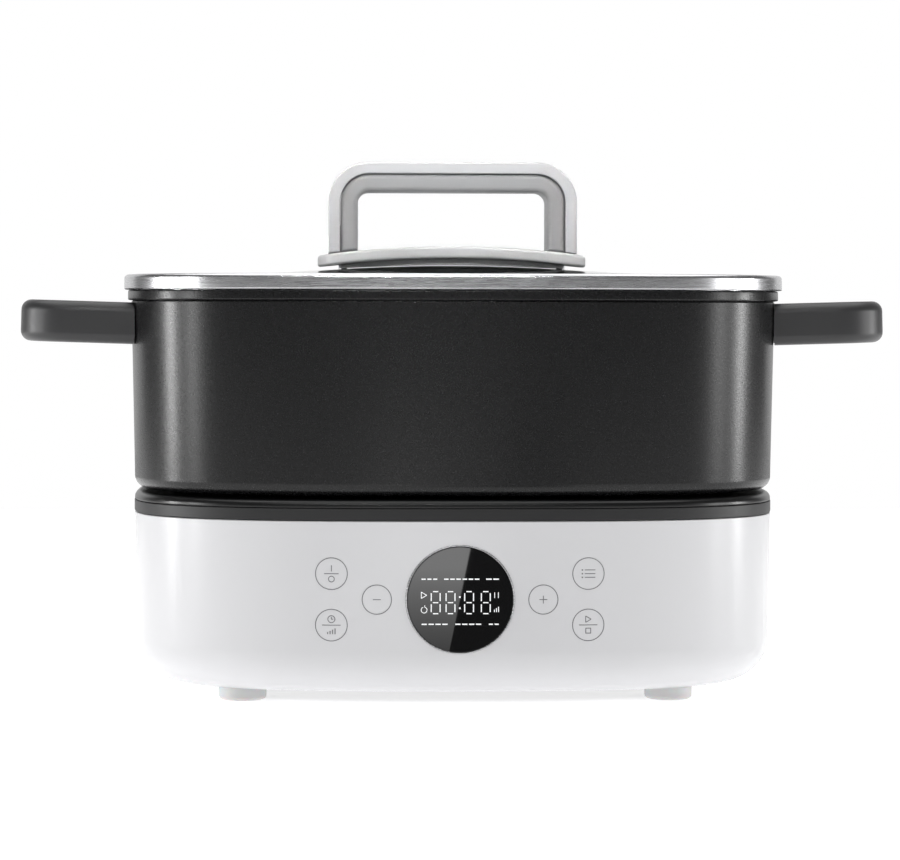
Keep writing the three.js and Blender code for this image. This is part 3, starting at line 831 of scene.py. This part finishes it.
# %% Window and ring
window_low, window_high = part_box("display_window")
window_radius = mm(window_high.x)
window_depth = mm(window_high.y - window_low.y)
face_y = mm(window_low.y)


def facing(bm, z_mm, y_mm):
    """Turn a shape made about Z so that its top faces -Y, centred on a point of the front."""
    swing(bm, math.pi / 2, "X")
    bmesh.ops.translate(bm, verts=bm.verts, vec=(0, y_mm * MM, z_mm * MM))
    return bm


window = turning(
    [(0, -window_depth, 0), (window_radius, -window_depth, 0), (window_radius, 0, 0.35), (0, 0, 0)],
    steps=128, soft=False)
make_piece(facing(window, display_z, face_y), "window", "display_acrylic", "base", "display_window")
bezel = turning([
    (window_radius + 0.1, -window_depth, 0),
    (display_radius, -window_depth, 0),
    (display_radius, 0.1, 0.3),
    (window_radius + 0.1, 0.1, 0.3),
], closed=True, steps=128, soft=False)
make_piece(facing(bezel, display_z, face_y), "bezel", "brushed_steel", "base", "display_ring")

# %% [markdown]
# ### Marks
# Printed and lit marks are thin raised shapes: bars, rings and triangles. Each lies on the surface
# behind it, so marks on the housing are laid against its gentle curve.

# %% Marks
INK = 0.06


def front_y(x_mm, z_mm):
    """Where the housing's front face is, in millimetres."""
    half = shell_half - DRAFT * (shell_top - z_mm) / (shell_top - shell_bottom)
    across = min(1.0, abs(x_mm) / half)
    return -half_depth(half * MM) / MM * (1 - across ** OUTLINE_POWER) ** (1 / OUTLINE_POWER)


def ring_mark(bm, x, z, radius, line):
    mark = turning([
        (radius - line, 0, 0), (radius, 0, 0), (radius, INK, 0), (radius - line, INK, 0),
    ], closed=True, steps=72, soft=False)
    place_mark(bm, mark, x, z)


def bar_mark(bm, x, z, width, height, turn=0.0, sides=4):
    """A bar, or with six sides the pointed bar of a digit's segment."""
    mark = bmesh.new()
    if sides == 4:
        bmesh.ops.create_cube(mark, size=1)
    else:
        bmesh.ops.create_cone(
            mark, cap_ends=True, segments=sides, radius1=0.5, radius2=0.5, depth=1)
    bmesh.ops.scale(mark, verts=mark.verts, vec=(width * MM, height * MM, INK * MM))
    bmesh.ops.translate(mark, verts=mark.verts, vec=(0, 0, INK / 2 * MM))
    swing(mark, turn, "Z")
    place_mark(bm, mark, x, z)


def place_mark(bm, mark, x, z):
    bmesh.ops.recalc_face_normals(mark, faces=mark.faces)
    bmesh.ops.translate(mark, verts=mark.verts, vec=(x * MM, z * MM, 0))
    mesh = bpy.data.meshes.new("mark")
    mark.to_mesh(mesh)
    mark.free()
    bm.from_mesh(mesh)
    bpy.data.meshes.remove(mesh)


def lay_on_front(bm):
    """Marks are drawn in X and Y with their ink up; stand them up against the housing."""
    for vert in bm.verts:
        x, z, proud = mm(vert.co.x), mm(vert.co.y), mm(vert.co.z)
        vert.co = (x * MM, (front_y(x, z) - proud - 0.01) * MM, z * MM)


def lay_on_window(bm):
    for vert in bm.verts:
        vert.co = (vert.co.x, face_y * MM - vert.co.z, vert.co.y)


# %% Key circles and their symbols
LINE = 0.4
key_places = {}
for key in ("on_off", "time", "minus", "plus", "mode", "start"):
    low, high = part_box(f"touch_pad_{key}")
    key_places[key] = (mm(low.x + high.x) / 2, mm(low.z + high.z) / 2)


def arc_mark(bm, x, z, radius, line, start, end, pieces=14):
    for i in range(pieces):
        angle = math.radians(start + (end - start) * (i + 0.5) / pieces)
        length = math.radians(abs(end - start)) * radius / pieces * 1.1
        bar_mark(bm, x + radius * math.cos(angle), z + radius * math.sin(angle), length, line,
                 angle + math.pi / 2)


def triangle_mark(bm, x, z, size, line):
    """An open triangle that points to +X."""
    side = size * 1.1
    bar_mark(bm, x - size * 0.45, z, line, side)
    for sign in (-1, 1):
        bar_mark(bm, x + size * 0.02, z + sign * side / 4, side, line, -sign * math.radians(30))


def key_symbol(bm, key, x, z):
    if key in ("on_off", "time", "start"):
        bar_mark(bm, x, z, 7.0 if key == "on_off" else 9.0, LINE)
    if key == "on_off":
        bar_mark(bm, x, z + 2.6, LINE, 3.0)
        ring_mark(bm, x, z - 2.6, 1.6, LINE)
    elif key == "time":
        ring_mark(bm, x, z + 2.9, 1.9, LINE)
        bar_mark(bm, x, z + 3.4, LINE, 1.2)
        bar_mark(bm, x + 0.4, z + 2.9, 1.0, LINE)
        for step in range(4):
            bar_mark(bm, x - 1.8 + 1.2 * step, z - 3.9 + 0.3 * step, 0.5, 1.0 + 0.6 * step)
    elif key == "start":
        triangle_mark(bm, x, z + 2.8, 2.8, LINE)
        for shift in (-1.2, 1.2):
            bar_mark(bm, x + shift, z - 2.8, LINE, 2.4 + LINE)
            bar_mark(bm, x, z - 2.8 + shift, 2.4 + LINE, LINE)
    elif key == "mode":
        for row in (-1.8, 0, 1.8):
            bar_mark(bm, x + 0.8, z + row, 5.2, LINE)
            bar_mark(bm, x - 3.0, z + row, 0.7, 0.7)
    else:
        bar_mark(bm, x, z, 3.8, LINE)
        if key == "plus":
            bar_mark(bm, x, z, LINE, 3.8)


printing = bmesh.new()
for key, (x, z) in key_places.items():
    ring_mark(printing, x, z, 7.3 if key in ("minus", "plus") else 7.9, LINE)
    key_symbol(printing, key, x, z)
lay_on_front(printing)
make_piece(printing, "key_printing", "grey_plastic", "base", material="key_ink")

# %% Lit digits and symbols
DIGIT = (4.3, 10.7)
STROKE = 0.5
THIN = 0.32
DIGIT_PLACES = (-11.9, -4.7, 4.3, 12.4)
DIGIT_ROW = -1.4
SEGMENTS = (
    (0, 1, 0), (0, 0, 0), (0, -1, 0),
    (-1, 0.5, 1), (1, 0.5, 1), (-1, -0.5, 1), (1, -0.5, 1),
)
lit = bmesh.new()
middle_z = display_z + DIGIT_ROW
for digit_x in DIGIT_PLACES:
    for across, up, upright in SEGMENTS:
        x = digit_x + across * DIGIT[0] / 2
        z = middle_z + up * DIGIT[1] / 2
        size = (STROKE, DIGIT[1] / 2 - 1.5) if upright else (DIGIT[0] - 1.7, STROKE)
        bar_mark(lit, x, z, *size)
for dot in (-2.7, 2.7):
    bar_mark(lit, -0.2, middle_z + dot, 0.8, 0.8)

# Two rows of short dashes stand where the setting names go.
for row, widths, gap in ((10.0, (8.4, 17.9, 7.0), 2.5), (-11.9, (13.4, 13.4, 5.6), 2.9)):
    x = -(sum(widths) + gap * 2) / 2
    for width in widths:
        dashes = max(2, round(width / 3))
        for dash in range(dashes):
            bar_mark(
                lit, x + width * (dash + 0.5) / dashes, display_z + row, width / dashes - 0.8, 0.6)
        x += width + gap
triangle_mark(lit, -17.6, display_z + 2.2, 2.8, THIN)
arc_mark(lit, -17.5, display_z - 5.0, 1.4, THIN, 110, 430)
bar_mark(lit, -17.2, display_z - 3.2, THIN, 1.0)
for shift in (-0.9, 0.9):
    bar_mark(lit, 17.6 + shift, display_z + 2.2, THIN, 2.8)
for step in range(3):
    bar_mark(lit, 16.6 + step, display_z - 5.4 + 0.35 * step, 0.4, 1.2 + 0.7 * step)
lay_on_window(lit)
make_piece(lit, "lit_marks", "display_acrylic", "base", material="lit_digit")

# %% [markdown]
# ## The studio
# The cooker stands on a light table, a pale floor lit from below, so it throws hardly any shadow.
# A strip light beside each shoulder draws the long highlights down the pan, a wide box overhead
# lights the tops, and a small gridded lamp lifts the lid's handle. Steel and black coating show
# what is around them, so the room in front of them stays dim.

# %% Floor
FLOOR_HALF = 1.6
FLOOR_GLOW = 0.5
floor_mesh = bmesh.new()
bmesh.ops.create_grid(floor_mesh, x_segments=1, y_segments=1, size=FLOOR_HALF)
floor_data = bpy.data.meshes.new("floor")
floor_mesh.to_mesh(floor_data)
floor_mesh.free()
floor = bpy.data.objects.new("floor", floor_data)
bpy.context.scene.collection.objects.link(floor)
floor_material, _, floor_shader = surface(
    "pale_floor", "#fafafa", 0.9, Specular_IOR_Level=0.2, Emission_Strength=FLOOR_GLOW)
floor_shader.inputs["Emission Color"].default_value = WHITE
floor_data.materials.append(floor_material)

# %% Lights and room
ROOM_LIGHT = 0.13
scene = bpy.context.scene
scene.view_settings.view_transform = "Standard"
world = bpy.data.worlds.new("room")
world.use_nodes = True
scene.world = world
room_tree = world.node_tree
background = room_tree.nodes["Background"]
background.inputs["Color"].default_value = WHITE
background.inputs["Strength"].default_value = ROOM_LIGHT
seen = add(room_tree, "ShaderNodeBackground", Strength=1.0)
seen.inputs["Color"].default_value = WHITE
ray = add(room_tree, "ShaderNodeLightPath")
blend = add(room_tree, "ShaderNodeMixShader", {0: ray.outputs["Is Camera Ray"]})
room_tree.links.new(background.outputs[0], blend.inputs[1])
room_tree.links.new(seen.outputs[0], blend.inputs[2])
room_tree.links.new(blend.outputs[0], room_tree.nodes["World Output"].inputs["Surface"])


def softbox(name, place, size, watts, look=(0, 0, 0.13), spread=180):
    """An area light that looks at a point of the cooker; a small spread is a grid on its front."""
    data = bpy.data.lights.new(name, "AREA")
    data.shape = "RECTANGLE"
    data.size, data.size_y = size
    data.energy = watts
    data.spread = math.radians(spread)
    light = bpy.data.objects.new(name, data)
    light.location = place
    aim = Vector(look) - Vector(place)
    light.rotation_euler = aim.to_track_quat("-Z", "Y").to_euler()
    scene.collection.objects.link(light)


softbox("left_strip", (-1.5, 0.1, 0.17), (0.12, 0.3), 4.8)
softbox("right_strip", (1.5, 0.1, 0.17), (0.12, 0.3), 3.8)
softbox("left_corner", (-1.5, -0.45, 0.22), (0.2, 0.4), 3.2)
softbox("right_corner", (1.5, -0.45, 0.22), (0.2, 0.4), 2.6)
softbox("overhead", (0, 0.2, 1.9), (2.6, 2.4), 40)
softbox("front_fill", (-0.5, -2.2, 1.9), (1.6, 1.0), 7)
softbox("handle_light", (-0.15, -1.5, 1.0), (0.3, 0.1), 0.14, look=(0, 0, 0.26), spread=14)

# %% [markdown]
# ### Cards that only reflections see
# A flat black window mirrors the floor in front of it, and a glass lid mirrors what is behind it.
# Two narrow cards, one bright and one dark, lie side by side on the floor in front, so the window
# gets its slanting reflection. A white card stands far behind for the lid. Only mirror-like rays
# see them, and for the last one rays through the glass too, so the floor and room stay plain.

# %% Cards
CARD_EDGE = ((-0.001, -0.30), (0.083, -1.80))
CARD_WIDTH = 0.11
CARD_Z = 0.002


def card(name, corners, glow, through=False):
    mesh = bmesh.new()
    mesh.faces.new([mesh.verts.new(corner) for corner in corners])
    data = bpy.data.meshes.new(name)
    mesh.to_mesh(data)
    mesh.free()
    piece = bpy.data.objects.new(name, data)
    scene.collection.objects.link(piece)
    material, tree, shader = surface(
        name, "#000000", 1.0, Emission_Strength=glow, Specular_IOR_Level=0.0)
    shader.inputs["Emission Color"].default_value = WHITE
    data.materials.append(material)
    piece.visible_camera = piece.visible_diffuse = piece.visible_shadow = False
    piece.visible_transmission = through
    return tree, shader


for name, side, glow in (("bright_card", -1, 4.2), ("dark_card", 1, 0.12)):
    near, far = CARD_EDGE
    tree, shader = card(name, [
        (near[0], near[1], CARD_Z), (far[0], far[1], CARD_Z),
        (far[0] + side * CARD_WIDTH, far[1], CARD_Z),
        (near[0] + side * CARD_WIDTH, near[1], CARD_Z)], glow)
    if side < 0:
        place = add(tree, "ShaderNodeTexCoord")
        axes = add(tree, "ShaderNodeSeparateXYZ", {"Vector": place.outputs["Object"]})
        fade = add(tree, "ShaderNodeMapRange", {"Value": axes.outputs["Y"]},
                   From_Min=-0.35, From_Max=-1.1, To_Min=1.1, To_Max=4.4)
        tree.links.new(fade.outputs["Result"], shader.inputs["Emission Strength"])
card("back_card", [(-2, 2.2, 0.0), (2, 2.2, 0.0), (2, 2.2, 1.4), (-2, 2.2, 1.4)], 0.9, through=True)

# %% [markdown]
# ## The camera
# A long lens from 1.8 metres, a little below the lid's rim but tilted slightly down, keeps the top
# of the cooker almost edge on. It is turned a couple of degrees off the middle.

# %% Camera
DISTANCE = 1.805
EYE = 0.193
AROUND = math.radians(-2.08)
DOWN = math.radians(1.933)
ROLL = math.radians(-0.13)
AIM = math.radians(0.025)
FOCAL_MM = 139.0
lens = bpy.data.cameras.new("camera")
lens.lens = FOCAL_MM
lens.sensor_width = 36
camera = bpy.data.objects.new("camera", lens)
camera.location = (math.sin(AROUND) * DISTANCE, -math.cos(AROUND) * DISTANCE, EYE)
camera.rotation_euler = (math.pi / 2 - DOWN, ROLL, AROUND + AIM)
scene.collection.objects.link(camera)
scene.camera = camera
